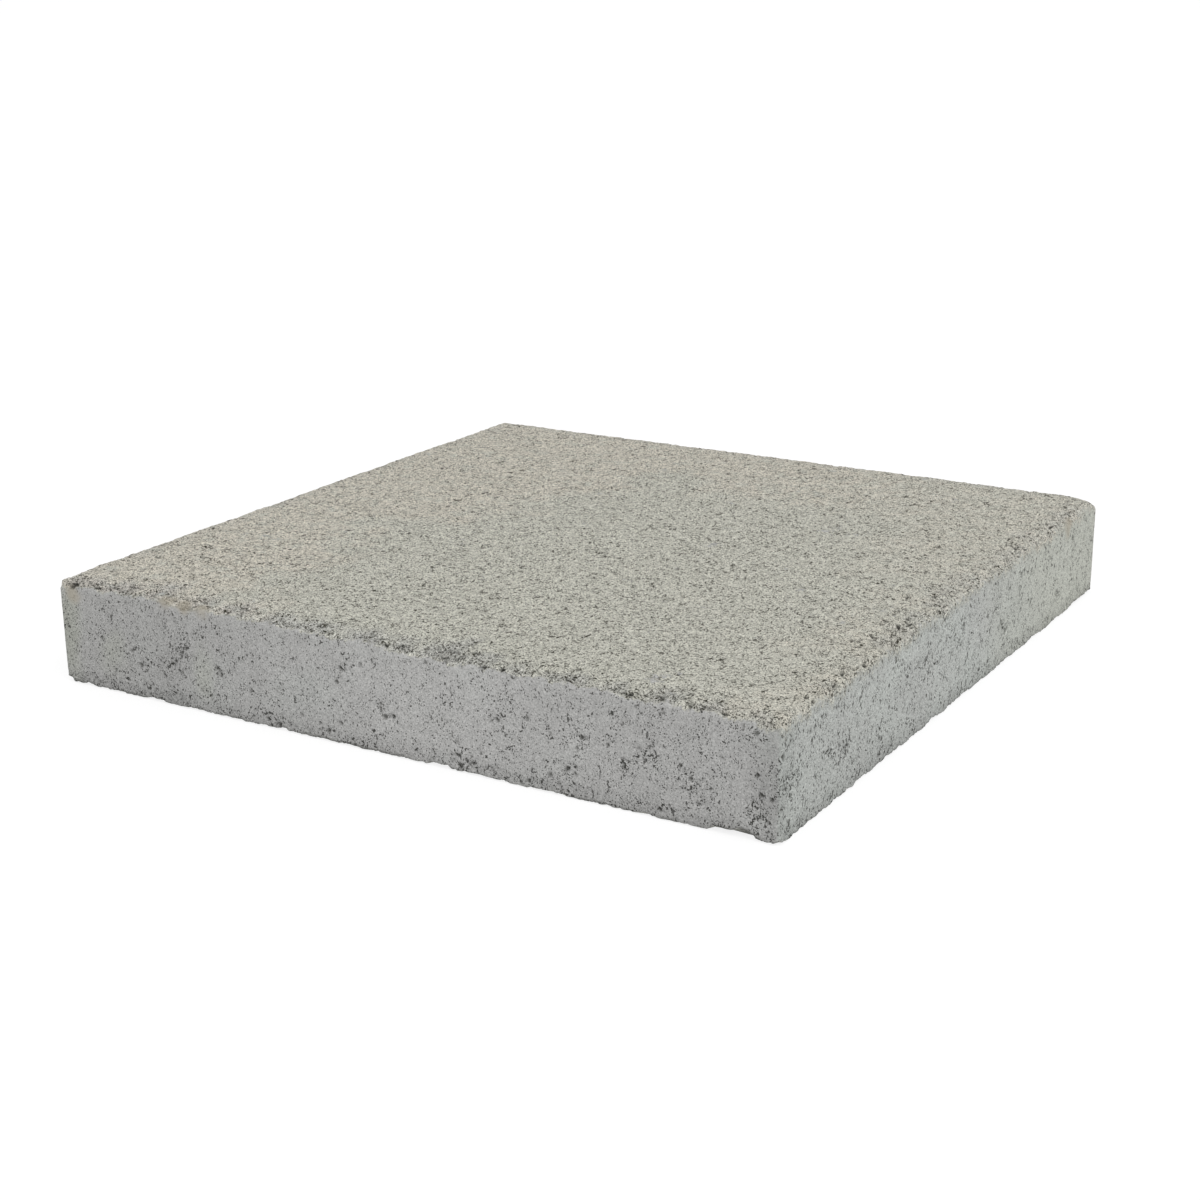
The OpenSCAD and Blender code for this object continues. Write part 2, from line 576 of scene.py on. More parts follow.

# %% [markdown]
# ## Cracks
# The deepest marks are listed one by one. Along the tread's edges they are short cracks
# where a crumb has lifted, and a few random ones are strewn between them. They could be
# cut with booleans, but thousands of cuts would be slow and fragile, so each mark only
# pushes in the points inside its uneven rim, and a point in two marks takes the deeper.

# %% Cracks along the tread's edges
CRACKS = {  # place along the side, how far in, half length, half width, turn in degrees, depth
    "front": [
        (7, 0.8, 3, 1, 0, 1.3), (14, 4, 1.6, 0.8, 20, 0.9), (15, 16, 1.8, 0.8, 0, 0.8),
        (19, 1, 2.2, 0.9, 10, 1.2), (25, 3.5, 3.2, 1, -15, 1.5), (31, 3.5, 2, 0.9, 25, 1.2),
        (31, 14, 1.8, 0.8, 0, 0.8), (36, 14, 1.6, 0.8, 10, 0.8), (45, 7, 2, 0.9, -20, 1.1),
        (47, 3.5, 2, 1, 15, 1.2), (100, 3, 2.2, 1, 20, 1.2), (119, 6, 2.4, 1, -10, 1.3),
        (139, 3.5, 2.2, 1, 15, 1.3), (146, 4.5, 2.4, 1, -20, 1.3), (150, 1, 1.6, 1.1, 60, 1.3),
        (155, 3.5, 2, 0.9, 10, 1.1), (170.5, 7, 2.8, 1.2, 50, 1.6), (174.5, 6.5, 2.2, 1.1, -30, 1.6),
        (174, 1, 2.2, 1, 0, 1.2), (178.5, 3, 1.8, 1, 30, 1.2), (182, 8, 2, 0.9, 0, 1),
        (184, 1, 1.4, 1, 70, 1.3), (189.5, 0.6, 1.5, 1, 60, 1.3), (197, 0.8, 1.6, 1, 50, 1.2),
        (203, 20, 1.6, 0.8, 0, 0.9), (211.5, 5.5, 2, 1, -20, 1.2), (220.5, 11, 2, 0.9, 20, 1),
        (222, 4.5, 2.8, 1.2, 70, 1.6), (228, 14, 1.8, 0.8, 0, 0.9), (238, 3.5, 2.2, 0.9, 10, 1.2),
        (245, 1, 2, 1, 20, 1.2), (255, 4, 3, 1.2, -10, 1.2), (262, 5, 2, 1, 25, 1.2),
        (271.5, 3.5, 2.4, 1.2, 40, 1.6), (277.5, 5, 2.6, 1.1, -35, 1.6), (278, 1, 1.8, 1, 0, 1.3),
    ],
    "right": [
        (12.5, 0.8, 1, 0.6, 40, 0.7), (17, 0.6, 1.1, 0.7, 60, 0.8), (23, 0.7, 0.8, 0.6, 20, 0.7),
        (41, 1, 1.8, 1, 30, 1.3), (39.5, 14, 2, 0.9, 0, 1), (47, 10, 2, 0.9, 30, 1), (50, 3, 2, 1, 20, 1.2),
        (64, 0.8, 2.6, 1, 0, 1.3), (72, 1, 1.8, 1, 40, 1.2), (79, 13, 2, 0.9, 10, 1.1),
        (82, 11, 2, 0.9, -20, 1.1), (87.5, 9, 2.6, 1.2, 45, 1.6), (87, 1, 2.4, 1.1, 0, 1.4),
        (94, 5, 2.4, 1.1, 60, 1.3), (98, 7, 2, 1, -30, 1.2), (101, 6, 2.6, 1.2, 30, 1.6),
        (106, 4.5, 2.4, 1.1, 70, 1.3), (111, 6.5, 2.2, 1, 20, 1.3), (113.5, 12, 2, 0.9, 0, 1.1),
        (127, 0.8, 1.6, 0.9, 40, 1.2), (130, 1, 1.6, 0.9, 60, 1.2), (134, 1, 1.6, 0.9, 20, 1.2),
        (133.5, 16.5, 2.8, 1.3, 30, 1.4), (139, 8, 2.6, 1.2, 50, 1.3), (144, 25, 1.8, 0.8, 0, 1),
        (146, 20, 2, 0.9, 30, 1), (161.5, 16, 2, 0.9, 0, 1), (164, 22, 2.2, 1, 20, 1),
        (200, 7, 2, 0.9, 0, 1), (203, 1, 1.6, 0.9, 50, 1.2), (212, 5, 2.4, 1, 20, 1.1),
        (213, 1, 1.6, 0.9, 30, 1.1), (216, 8, 1.8, 0.9, 0, 1), (222, 11, 2, 0.9, 30, 1),
        (227, 1, 1.6, 0.9, 60, 1.1), (241, 1, 1.8, 0.9, 20, 1.1), (247, 3, 2, 0.9, 0, 1.1),
        (261, 7, 2, 0.9, 40, 1), (277, 7, 2.2, 1, 10, 1),
    ],
}
STRAY_CRACKS = 60
CRACK_SEARCH = 1.6
RIM_ROUGHNESS = 1.6

chance = np.random.default_rng(31)
rim = RIM_ROUGHNESS * (lumps(rest, 1.1, 32) - 0.5)
mark_depth = np.zeros(len(rest), np.float32)


def press_dent(index, reach, depth):
    """Presses in the listed points: fully where reach is 0, no more where it is 1."""
    dent = depth * np.clip(1 - np.maximum(reach + rim[index], 0) ** 2, 0, 1)
    mark_depth[index] = np.maximum(mark_depth[index], dent)


def press_crack(side, along, inset, half_length, half_width, turn, depth):
    """A turned oval on the tread or its rounded edge."""
    place_along, place_in = from_side(side)
    close = np.hypot(place_along - along, place_in - inset) < half_length * CRACK_SEARCH
    index = np.nonzero(close & (sand_face > 0.3))[0]
    u = place_along[index] - along
    v = place_in[index] - inset
    cos = math.cos(math.radians(turn))
    sin = math.sin(math.radians(turn))
    reach = np.hypot((u * cos + v * sin) / half_length, (v * cos - u * sin) / half_width)
    press_dent(index, reach, depth)


for crack in rows(CRACKS):
    press_crack(*crack)
for side in SIDES:
    for along in chance.uniform(4, 2 * half - 4, STRAY_CRACKS // 4):
        press_crack(side, along, chance.uniform(0.5, 7), chance.uniform(1, 2.2), chance.uniform(0.6, 1),
                    chance.uniform(-60, 60), chance.uniform(0.6, 1.2))
print(len(rows(CRACKS)) + STRAY_CRACKS, "cracks, the deepest", round(float(mark_depth.max()), 2), "mm")

# %% [markdown]
# ## Pits
# Air bubbles and lost grains leave small holes on every face. The ones that catch the
# eye are listed one by one. Others are strewn at random, evenly over each face, and then
# once more where the mix is loose, since it traps the most air. A search tree finds the
# few points near each pit, which is far quicker than measuring the way to all of them.

# %% Pits
TREAD_PITS = [  # place on the tread and radius
    (-83, 15, 2.3), (-85, 57, 1.8), (-103, 77, 2.0), (-87, 71, 1.7), (-76, 95, 1.8),
    (-139, 139, 1.8), (79, 111, 1.9), (88, 102, 2.1), (119, 48, 2.1), (118, -6, 1.6),
    (10, -23, 1.6), (13, -26, 1.2), (7, -21, 1.1), (-31, -23, 1.6), (21, -71, 1.5),
    (-119, -103, 1.3), (-114, -104, 1.4), (-109, -105, 1.1), (-99, -105, 1.3), (-134, -111, 1.6),
    (44, 46, 1.3), (63, 82, 1.2), (86, 54, 1.3), (-33, 54, 1.2), (40, -25, 1.4),
    (45, -34, 1.1), (-3, -86, 1.3), (71, -80, 1.2), (137, -44, 1.5), (108, 63, 1.3),
    (106, -37, 1.2), (76, 46, 1.2), (23, 112, 1.1), (-60, -58, 1.1), (28, -112, 1.0), (-24, -121, 1.1),
]
SIDE_PITS = {  # place along the side, height, radius
    "front": [
        (32, 6, 1), (50, 11, 1.1), (54, 16, 1), (59, 21, 1.1), (62, 25, 0.9), (75, 18, 0.9), (77, 16, 0.9),
        (111, 27, 0.9), (131, 28, 1), (147, 18, 1), (153, 15, 1), (192, 4, 1), (227, 22, 0.9),
        (237, 21, 0.9), (244, 17, 1), (251, 19, 1.1), (225, 11, 0.8), (221, 9, 0.8), (265, 18, 0.9),
        (278, 25, 0.8), (270, 8, 1), (256, 3, 1), (294, 7, 1), (295, 15, 1), (56, 18, 1.1), (58, 20, 1),
        (61, 23, 1), (243, 15, 1), (222, 10, 1.1), (248, 22, 0.9), (263, 20, 1), (296, 24, 0.6),
        (267, 16, 0.9), (42, 4, 1), (105, 4, 0.9), (178, 6, 1),
    ],
    "right": [
        (2.5, 18, 1.1), (8, 17, 1.1), (5, 21, 1), (10, 20, 1), (2, 29, 1), (33, 19, 1), (36, 18, 1),
        (48, 16, 1.1), (21, 31, 0.9), (54, 32, 0.9), (76, 3, 1), (119.5, 24, 0.9), (127, 20, 0.9),
        (174, 24, 1), (180, 22, 1), (182, 25, 1), (191, 17, 1.1), (195, 13, 1.1), (218, 18, 1.1),
        (203, 2, 1), (210, 2, 1), (216.5, 31, 1), (254, 11, 1), (268, 31, 1.1), (188, 18, 1.2),
        (190, 15.5, 1.1), (193, 12.5, 1.2), (46, 22, 1), (2, 12, 1.2), (7.5, 14, 1.1), (39, 37, 1),
        (283, 27, 1),
    ],
}
PITS_PER_CM2 = {"tread": 1.0, "side": 0.7, "bed": 0.6}
PIT_RADIUS = (0.5, 1.0)
LOOSE_PITS_PER_CM2 = 2.5
PIT_SEARCH = 1.4
PIT_WIDTH = {"tread": 0.9, "front": 0.9, "right": 1.0}
MM2_PER_CM2 = 100


def scatter(per_cm2):
    """Even random places over the tread, the bed and the four sides."""
    places = []
    area = (2 * half) ** 2 / MM2_PER_CM2
    for height, key in ((top, "tread"), (0, "bed")):
        count = int(area * per_cm2[key])
        spread = chance.uniform(-half + 1, half - 1, (count, 2))
        places.append(np.column_stack([spread, np.full(count, height)]))
    for side in SIDES:
        count = int(2 * half * top / MM2_PER_CM2 * per_cm2["side"])
        along = chance.uniform(1, 2 * half - 1, count)
        height = chance.uniform(1, top - 1, count)
        places.append(np.array([side_place(side, a, h) for a, h in zip(along, height)]))
    return np.concatenate(places)


tree_of_points = KDTree(len(rest))
for index, point in enumerate(rest.tolist()):
    tree_of_points.insert(point, index)
tree_of_points.balance()


def press_pit(place, radius, depth):
    """A round pit anywhere on the stone."""
    found = tree_of_points.find_range(place, radius * PIT_SEARCH)
    if found:
        index = np.array([hit[1] for hit in found])
        press_dent(index, np.array([hit[2] for hit in found]) / radius, depth)


pits = 0
for place in scatter(PITS_PER_CM2):
    radius = chance.uniform(*PIT_RADIUS)
    press_pit(place, radius, radius * chance.uniform(0.7, 1.1))
    pits += 1
for place in scatter(dict.fromkeys(PITS_PER_CM2, LOOSE_PITS_PER_CM2)):
    nearest = tree_of_points.find(place)[1]
    radius = chance.uniform(*PIT_RADIUS)
    if chance.random() < loose[nearest]:
        press_pit(place, radius, radius * chance.uniform(0.8, 1.2))
        pits += 1
for px, py, radius in TREAD_PITS:
    press_pit((px, py, top), radius * PIT_WIDTH["tread"], radius)
    pits += 1
for side, along, height, radius in rows(SIDE_PITS):
    press_pit(side_place(side, along, height), radius * PIT_WIDTH[side], radius)
    pits += 1
print(pits, "pits")

# %% [markdown]
# ## Relief
# The faces aren't truly flat: they wave gently, the loose patches break into crumbs,
# the sand is gritty all over, and its rounded edge is worn unevenly. Just above the
# wiped skin the paste holds the crumbs, so the layers are weaker there (`held`). Every
# layer presses inwards, so the stone never grows past its CAD size.

# %% Relief
SIDE_SINK = 0.15
SAND_SINK = 0.05
LONG_WAVE = 0.16
SHORT_WAVE = 0.12

wave = LONG_WAVE * lumps(rest, 38, 41) + SHORT_WAVE * lumps(rest, 12, 42)
grain = lumps(rest, 1.5, 43)
clumps = lumps(rest, 3.6, 44)
held = np.where(skin < 0, 0.45 + 0.55 * smooth(-skin, 0, 2.0), 1)
on_arris = smooth(ARRIS + 1 - edge, 0, 2) * sand_face
grit_share = (0.08 + 0.52 * loose) * (0.25 + 0.75 * sand_face)
crumb_share = (0.10 + 0.90 * loose) * (0.25 + 0.75 * sand_face)
grit_share *= held
crumb_share *= held
grit = 0.5 * (1 - grain) + 0.5 * grit_own + 0.8 * grit_crack
crumb = 0.50 * crumb_own + 0.40 * np.minimum(crumb_near, 1) ** 2 + 1.0 * crumb_crack * (1 - clumps)
pebble = 0.35 * pebble_own + 0.3 * np.minimum(pebble_near, 1) ** 2
rub = 0.20 * (1 - lumps(rest, 9, 47)) + 0.18 * (1 - clumps)

press = wave * (0.5 + 0.5 * sand_face)
press += grit_share * grit
press += crumb_share * crumb
press += held * loose * sand_face * pebble
press += SIDE_SINK * sideways + SAND_SINK * sideways * sand
press += held * on_arris * (0.5 + 0.5 * near_front) * rub
press += mark_depth
moved = rest - out * press[:, None]
print("pressed in", span(press), "mm")

# %% [markdown]
# ## Worn corners and the ragged bottom edge
# One top corner took a knock and is worn down by over three millimetres; the others
# are only rubbed. The bottom edge is where the damp mix tore off the pallet, so it is
# nibbled all along and has a few missing flakes. A bite lifts the edge off the ground
# and fades out a few millimetres up the side and in along the bed, so the foot of the
# side turns ragged and stands over a thin line of shade.

# %% Corners and bottom edge
CORNER_WEAR = [  # x sign, y sign, reach along x, reach along y, drop
    (1, 1, 14, 10, 4.4),
    (-1, -1, 4, 4, 0.4),
    (-1, 1, 6, 5, 0.5),
    (1, -1, 5, 5, 0.4),
]
BOTTOM_FLAKES = {  # place along the side, half width, bite
    "front": [
        (0, 4, 1.6), (45, 5, 0.5), (100, 7, 0.4), (171, 5, 0.9), (212, 6, 0.5), (281, 8, 1.5), (286, 4, 1),
    ],
    "right": [(0, 2, 0.8), (60, 5, 0.4), (150, 8, 0.6), (228, 6, 0.5), (283, 17, 0.6)],
    "back": [(38, 7, 1.3), (140, 12, 0.9), (241, 5, 1.6)],
    "left": [(22, 9, 1.1), (133, 6, 1.4), (216, 11, 0.8)],
}
WEAR_ROUNDNESS = 2.4
SIDE_FOLLOWS = 16.0
BITE_HEIGHT = 7.0
BITE_DEPTH = 6.0

for sx, sy, reach_x, reach_y, drop in CORNER_WEAR:
    near = 1 - np.hypot((half - sx * x) / reach_x, (half - sy * y) / reach_y)
    fall = drop * np.clip(near + 0.10 * (clumps - 0.5), 0, 1) ** WEAR_ROUNDNESS
    moved[:, 2] -= fall * smooth(below_tread, SIDE_FOLLOWS, 0)

bite = 0.10 + 0.7 * lumps(around, 6, 51) ** 2 + 0.6 * lumps(around, 1.8, 52) ** 2
bed_crumb = crumbs(around, 5.5, 53)[2]
bite += 0.35 * smooth(bed_crumb, 0.80, 0.84)
for side, along, half_width, depth in rows(BOTTOM_FLAKES):
    bite += depth * fade(from_above(side, along), half_width * 0.7, half_width)
lift = bite * fade(z, 0, BITE_HEIGHT) * fade(edge, 0.5, BITE_DEPTH)
moved[:, 2] += lift
moved[:, :2] = np.clip(moved[:, :2], -half, half)
moved[:, 2] = np.clip(moved[:, 2], 0, top)
print("bottom bites", span(bite), "mm")

# %% [markdown]
# ## Hollows and high spots
# Hollows get dirt and painted shade, and the tops of crumbs get a painted highlight. A
# point lies in a hollow if it was pressed in further than the stone around it. Averaging
# each point with its neighbours a few times gives the depth over a millimetre or two
# around. Sand and skin lie at different depths, so each is compared only with its own
# kind; otherwise their whole border would count as a hollow.

# %% Hollows
ROUNDS = 8
KEEP_OWN = 0.3
FEW = 0.02

ends = np.empty(len(stone_mesh.edges) * 2, np.int32)
stone_mesh.edges.foreach_get("vertices", ends)
first, second = ends.reshape(-1, 2).T
neighbours = np.bincount(first, minlength=len(rest)) + np.bincount(second, minlength=len(rest))


def spread_out(values):
    """Averages each point with its neighbours, a few times over."""
    for _ in range(ROUNDS):
        total = np.bincount(first, values[second], len(rest))
        total += np.bincount(second, values[first], len(rest))
        values = KEEP_OWN * values + (1 - KEEP_OWN) * total / neighbours
    return values


sand_share = spread_out(sand.astype(np.float64))
on_sand = spread_out(press * sand) / np.maximum(sand_share, FEW)
on_skin = spread_out(press * (1 - sand)) / np.maximum(1 - sand_share, FEW)
hollow = press - np.where(sand > 0.5, on_sand, on_skin)
print("high spots and hollows", span(hollow), "mm")

# %% [markdown]
# ## Patches of colour
# The mix isn't one grey. The tread is warmer and sandier towards the back and the left,
# cooler in a broad patch near the front. The right side has a green-grey cast, yellower
# towards the back, and the front has a few olive patches. The foot of the sides gets a
# painted shade, stretches along the sides are painted lighter and darker as light and
# shade, and pits, cracks and the very foot get painted shade with some dirt. These could
# be painted on, but soft masks on the mesh follow the slab when its size is changed.
# `closed` says where sand or skin is packed closer than elsewhere and shows fewer gaps.

# %% Colour masks
COOL_MIDDLE = (30, -80, 115, 190)  # x, y, reach along x, reach along y
# Lighter and darker stretches of the sides: painted light and shade, as the light falls across each side.
SIDE_LIGHT_AND_SHADE = {  # place along the side, height, half length, half height, push
    "front": [
        (20, 14, 80, 60, -0.07), (0, 20, 10, 40, -0.06), (52, 14, 16, 22, -0.06), (170, 22, 90, 60, 0.1),
        (298, 22, 16, 30, -0.1),
    ],
    "right": [
        (0, 16, 14, 24, -0.08), (80, 28, 60, 22, 0.04), (140, 20, 60, 40, 0.05), (240, 20, 120, 60, 0.04),
    ],
}
CLOSED_PATCHES = {  # place along the side, height, half length, half height, push
    "front": [(150, 24, 75, 40, 0.12), (35, 20, 45, 40, -0.12), (255, 20, 45, 40, -0.1)],
    "right": [(250, 20, 70, 40, 0.16), (120, 20, 60, 40, -0.12)],
}
OLIVE_PATCHES = {  # place along the side, height, half length, half height, strength
    "front": [(3, 20, 9, 40, 0.9), (25, 14, 10, 14, 0.6), (69, 14, 7, 15, 0.6)],
    "back": [(90, 18, 16, 20, 0.5)],
    "left": [(210, 20, 14, 16, 0.6)],
}
OLIVE_TONE = 0.09
# How dark the painted shade towards the foot of the sides is.
LOW_SHADE = 0.11
BAND_TONE = 0.05
CORNER_TONE = 0.03
CORNER_CLOSED = 0.20
WARMTH_LOST = 0.6

cx, cy, reach_x, reach_y = COOL_MIDDLE
from_middle = np.hypot((x - cx) / reach_x, (y - cy) / reach_y)
from_middle += 0.5 * (lumps(rest, 34, 61) - 0.5)
from_middle += 0.35 * (lumps(rest, 11, 62) - 0.5)
warm = smooth(from_middle, 0.82, 1.12)
warm *= 1 - WARMTH_LOST * smooth(x, 20, 90)
yellow = right_face * smooth(y + 60 * (lumps(rest, 30, 64) - 0.5), -20, 120)
warm = warm * sand + yellow * (1 - sand)
green = np.clip(right_face * 0.8 + 0.6 * (lumps(rest, 26, 63) - 0.5), 0, 1) * sideways
# Painted shade, darker towards the foot of the sides.
low_shade = -LOW_SHADE * fade(z + 4 * ragged, 2, 7) * sideways
tone_and_shade = low_shade - BAND_TONE * loose * sand_face
# Painted shade with some dirt in pits and cracks, and a thin painted line of shade and dirt along the foot
# of the sides, where they meet the floor.
mark_shade_and_dirt = smooth(mark_depth, 0.35, 1.0)
foot_shade_and_dirt = fade(z, 0.3, 1.1) * fade(edge, 0.5, 2) * (0.35 + 0.65 * smooth(lumps(around, 9, 66), 0.35, 0.6))
mark_shade_and_dirt = np.maximum(mark_shade_and_dirt, np.where(on_right, 0.4, 0.7) * foot_shade_and_dirt)


def side_patch(*oval):
    """1 in the middle of an uneven oval on one side, fading to 0 at its rim."""
    return fade(from_oval(*oval) + 0.6 * ragged, 0.1, 1.0) * sideways


# Painted light and shade along the sides.
for *patch, push in rows(SIDE_LIGHT_AND_SHADE):
    tone_and_shade += push * side_patch(*patch)
near_corner = fade(np.hypot(x - half, y + half), 60, 170) * sand
closed = CORNER_CLOSED * near_corner
tone_and_shade -= CORNER_TONE * near_corner
for *patch, push in rows(CLOSED_PATCHES):
    closed += push * side_patch(*patch) * (1 - sand)
for *patch, strength in rows(OLIVE_PATCHES):
    olive = strength * side_patch(*patch) * (1 - sand)
    warm = np.maximum(warm, olive)
    tone_and_shade -= OLIVE_TONE * olive
print("warm share of the tread", round(float(warm[upward > 0.9].mean()), 2))

# %% [markdown]
# ## Stains
# Clay and wet leaves leave tan spots where a stone lay in the yard. A few sit on the top
# edges. Each is a ball of colour round its place, with a rim broken up by the clumps.

# %% Stains
STAINS = {  # place along the side, height, half size
    "front": [(7, 35, 4.5), (52, 40, 5), (61, 40, 4), (69, 39, 4.5)],
    "right": [(262, 37, 5)],
    "left": [(60, 36, 5)],
    "back": [(180, 38, 5)],
}
stain = np.zeros(len(rest), np.float32)
for side, along, height, size in rows(STAINS):
    mx, my, mz = side_place(side, along, height)
    away = np.linalg.norm(rest - (mx, my, mz), axis=1) / size + 0.8 * (clumps - 0.5)
    stain = np.maximum(stain, fade(away, 0.3, 1.1))
print(len(rows(STAINS)), "stains on", round(float((stain > 0.5).mean()), 4), "of the stone")

# %% [markdown]
# ## Thin the mesh
# Nearly two million triangles are far more than anyone needs. Decimate merges points
# where the surface is calm and keeps them round cracks and broken edges, which even
# rows of quads can't do. `spare` tells it where points can be spared: nearly all on the
# bed, which nobody sees, and fewest on the crumbly edges. The masks travel along.

# %% Thinned stone
TRIANGLE_BUDGET = 197000
MASKS = {
    "skin": skin,
    "lip": lip,
    "loose": loose - closed,
    "hollow": hollow,
    "warm": warm,
    "green": green,
    "tone_and_shade": tone_and_shade,
    "mark_shade_and_dirt": mark_shade_and_dirt,
    "stain": stain,
}
THINNING_STEPS = 12
SPARED = 0.80
SPARED_ON_SIDES = 0.66
SPARED_ON_BED = 0.96
KEPT_WHERE_BUSY = 0.75

busy = loose * 1.2 + on_arris
busy = busy + 0.8 * smooth(bite - z, -1.5, 0) + 0.8 * smooth(mark_depth, 0.1, 0.4)
spare = SPARED - KEPT_WHERE_BUSY * np.clip(busy, 0, 1)
spare = np.where(sideways > 0.5, np.minimum(spare, SPARED_ON_SIDES), spare)
spare = np.where(downward > 0.9, SPARED_ON_BED, spare)


def keep_mask(mesh, name, values):
    layer = mesh.attributes.new(name, "FLOAT", "POINT")
    layer.data.foreach_set("value", np.ascontiguousarray(values, np.float32))


stone_mesh.vertices.foreach_set("co", (moved * MM).astype(np.float32).ravel())
for name, values in MASKS.items():
    keep_mask(stone_mesh, name, values)
for axis, values in zip("xyz", rest.T):
    keep_mask(stone_mesh, "rest_" + axis, values)
stone_mesh.update()
rough_stone = add_object("rough_stone", stone_mesh)
thinning = rough_stone.vertex_groups.new(name="thinning")
level = np.round(spare * THINNING_STEPS).astype(int)
for number in np.unique(level).tolist():
    thinning.add(np.nonzero(level == number)[0].tolist(), number / THINNING_STEPS, "REPLACE")
thin = rough_stone.modifiers.new("thin", "DECIMATE")
thin.ratio = TRIANGLE_BUDGET / (2 * len(stone_mesh.polygons))
thin.use_collapse_triangulate = True
thin.vertex_group = thinning.name
thinned = with_modifier_applied(rough_stone)
thinned.name = "stepping_stone"
thinned.materials.clear()
stone = add_object("stepping_stone", thinned)
thinned.shade_smooth()
print(len(thinned.polygons), "faces,", len(thinned.vertices), "points")

# %% [markdown]
# ## Unwrapping
# Game engines and web viewers need the finish as flat pictures, so the stone is
# unwrapped. Tread, bed and sides are laid out flat from the points' places on the
# smooth slab, so nothing folds over, and the bed, which nobody sees, gets less room.

# %% Flat layout
LAYOUT_PER_MM = 0.00237
BED_PER_MM = 0.00094
GAP = 0.008


def read_mask(name):
    values = np.empty(len(thinned.vertices), np.float32)
    thinned.attributes[name].data.foreach_get("value", values)
    return values


def lay_out_flat():
    """Writes a UV map: each face is laid flat with the side of the slab it belongs to."""
    spot = np.column_stack([read_mask("rest_" + axis) for axis in "xyz"])
    faces = len(thinned.polygons)
    corners = np.empty(faces * 3, np.int32)
    thinned.loops.foreach_get("vertex_index", corners)
    spots = spot[corners].reshape(faces, 3, 3)
    middle = spots.mean(axis=1)
    past = np.column_stack([
        np.abs(middle[:, 0]) - half,
        np.abs(middle[:, 1]) - half,
        middle[:, 2] - top,
        -middle[:, 2],
    ])
    nearest = past.argmax(axis=1)
    side_width = (2 * half) * LAYOUT_PER_MM
    shelf = side_width + GAP
    flat = np.zeros((faces, 3, 2))
    sx, sy, sz = (spots[:, :, i] for i in range(3))
    across_x = (sx + half) * LAYOUT_PER_MM
    across_y = (sy + half) * LAYOUT_PER_MM
    first_row = sz * LAYOUT_PER_MM + shelf
    second_row = first_row + top * LAYOUT_PER_MM + GAP
    on_x = nearest == 0
    on_y = nearest == 1
    layouts = [
        (nearest == 2, across_x, across_y),
        (nearest == 3, (half - sx) * BED_PER_MM + shelf, (sy + half) * BED_PER_MM + shelf),
        (on_y & (middle[:, 1] < 0), across_x, first_row),
        (on_y & (middle[:, 1] > 0), side_width - across_x, second_row),
        (on_x & (middle[:, 0] > 0), first_row, across_y),
        (on_x & (middle[:, 0] < 0), second_row, side_width - across_y),
    ]
    for chosen, u, v in layouts:
        flat[chosen, :, 0] = u[chosen]
        flat[chosen, :, 1] = v[chosen]
    layout = thinned.uv_layers.new(name="OFBake")
    layout.data.foreach_set("uv", (flat + GAP / 2).astype(np.float32).ravel())
    return nearest


nearest_side = lay_out_flat()
for axis in "xyz":
    thinned.attributes.remove(thinned.attributes["rest_" + axis])
print("faces on the bed", int((nearest_side == 3).sum()))

# %% [markdown]
# ## Grains and gaps as reusable effects
# Grains under a millimetre are too small for the mesh, so the material draws them. Two
# effects are used by every finish, and each is a node group with named inputs.
# Grains: cells of random shape, each with its own lightness and tint and a domed top.
# Gaps: the low spots of a rough noise, which come out as dark holes of every size and
# shape. `Share` says how many there are, and they gather in clusters.

# %% Node groups


def new_group(name, numbers, outputs):
    """An effect that is given a place and some numbers, and gives numbers back."""
    group = bpy.data.node_groups.new(name, "ShaderNodeTree")
    group.interface.new_socket("Place", in_out="INPUT", socket_type="NodeSocketVector")
    for label, value in numbers.items():
        socket = group.interface.new_socket(label, in_out="INPUT", socket_type="NodeSocketFloat")
        socket.default_value = value
    for label in outputs:
        group.interface.new_socket(label, in_out="OUTPUT", socket_type="NodeSocketFloat")
    given = group.nodes.new("NodeGroupInput").outputs
    return group, given, group.nodes.new("NodeGroupOutput").inputs


def in_steps_of(tree, place, size):
    """The same place, counted in steps of `size` millimetres."""
    return vector_sum(tree, "SCALE", {0: place, "Scale": sum_up(tree, "DIVIDE", 1.0, size)})


def noise(tree, place, scale, detail=2.0, rough=0.5):
    inputs = {"Vector": place, "Scale": scale, "Detail": detail, "Roughness": rough}
    return put(tree, "ShaderNodeTexNoise", inputs).outputs[0]


def make_grain_group():
    group, given, result = new_group("grains", {"Size": 0.8}, ("Lightness", "Tint", "Height"))
    steps = in_steps_of(group, given["Place"], given["Size"])
    wobble = put(group, "ShaderNodeTexNoise", {"Vector": steps, "Scale": 1.3, "Detail": 1.0})
    bent = vector_sum(group, "MULTIPLY_ADD", {0: wobble.outputs["Color"], 1: (1.1, 1.1, 1.1), 2: steps})
    cells = put(group, "ShaderNodeTexVoronoi", {"Vector": bent, "Scale": 1.0})
    own = put(group, "ShaderNodeSeparateColor", {0: cells.outputs["Color"]})
    dome = scaled(group, cells.outputs["Distance"], cells.outputs["Distance"])
    height = scaled(group, dome, -1.0, own.outputs[2])
    feed(group, result["Lightness"], own.outputs[0])
    feed(group, result["Tint"], own.outputs[1])
    feed(group, result["Height"], height)
    return group


def make_gap_group():
    numbers = {"Size": 0.8, "Share": 0.3, "Clusters": 0.3, "Softness": 0.1}
    group, given, result = new_group("gaps", numbers, ["Gap"])
    steps = in_steps_of(group, given["Place"], given["Size"])
    rough = noise(group, steps, 0.62, 1.0)
    gather = sum_up(group, "SUBTRACT", noise(group, steps, 0.13, 2.0), 0.5)
    level = scaled(group, given["Share"], 0.20, 0.26)
    level = scaled(group, gather, given["Clusters"], level)
    under = sum_up(group, "SUBTRACT", level, rough)
    feed(group, result["Gap"], ramp(group, under, 0.0, given["Softness"]))
    return group


